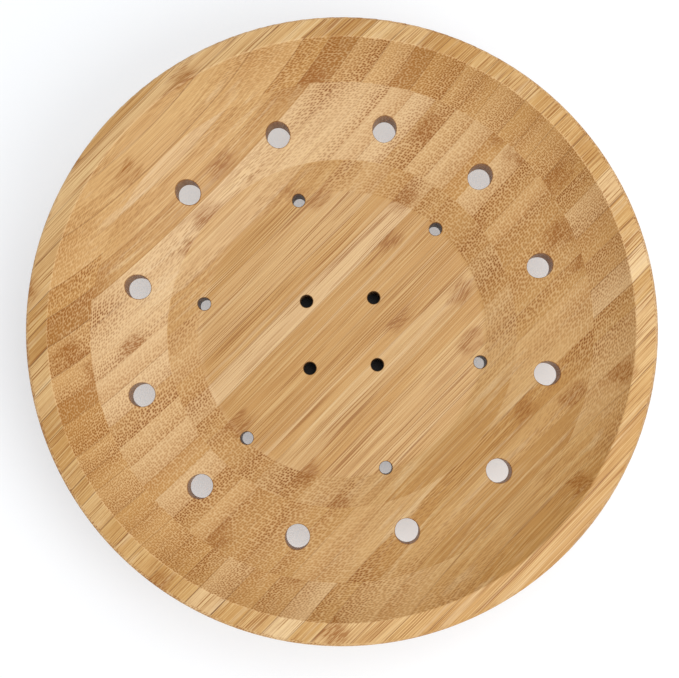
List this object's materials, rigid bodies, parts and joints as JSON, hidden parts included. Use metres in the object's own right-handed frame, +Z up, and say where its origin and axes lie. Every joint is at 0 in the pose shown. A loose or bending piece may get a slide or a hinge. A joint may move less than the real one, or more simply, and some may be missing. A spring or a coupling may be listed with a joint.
{
  "type": "lazy susan turntable",
  "caption": "Shallow laminated bamboo bowl with rings of drain holes, turning freely on a low ball-bearing swivel with rubber feet.",
  "frame": {"origin": "on the table, under the centre of the bowl, at the bottom of the rubber feet", "axes": "+Z up along the swivel's axis; +X towards one air hole of each ring, nearly along the bamboo's grain"},
  "size_m": [0.3, 0.3, 0.0749],
  "materials": {
    "bamboo_floor_board": "oiled satin",
    "bamboo_wall_board": "oiled satin",
    "bamboo_rim_board": "oiled satin",
    "black_moulding": "fine matt texture",
    "race_steel": "bright zinc plate",
    "ball_steel": "polished",
    "nylon": "natural white nylon",
    "fastener_steel": "zinc plated",
    "wood_screw_steel": "yellow passivated zinc",
    "foot_rubber": "matt"
  },
  "bodies": {
    "base": {"base_disc": "black_moulding", "lower_race": "race_steel", "lower_race_screws": "fastener_steel", "pivot_bolt": "fastener_steel", "pivot_washer": "fastener_steel", "pivot_nut": "fastener_steel", "bottom_cap": "black_moulding", "rubber_foot_1": "foot_rubber", "rubber_foot_2": "foot_rubber", "rubber_foot_3": "foot_rubber", "rubber_foot_4": "foot_rubber"},
    "turntable": {"floor_board": "bamboo_floor_board", "wall_board": "bamboo_wall_board", "rim_board": "bamboo_rim_board", "swivel_top_plate": "black_moulding", "upper_race": "race_steel", "upper_race_screws": "fastener_steel", "top_plate_screws": "wood_screw_steel", "pivot_bush": "nylon"},
    "bearing": {"ball_cage": "nylon", "bearing_balls": "ball_steel"}
  },
  "joints": [
    {"name": "turntable_spin", "type": "hinge", "parent": "base", "child": "turntable", "pos_m": [0, 0, 0.0082], "axis": [0, 0, 1], "continuous": true},
    {"name": "bearing_spin", "type": "hinge", "parent": "base", "child": "bearing", "pos_m": [0, 0, 0.0082], "axis": [0, 0, 1], "continuous": true}
  ],
  "couplings": [
    {"joint": "bearing_spin", "follows": "turntable_spin", "ratio": 0.5}
  ]
}
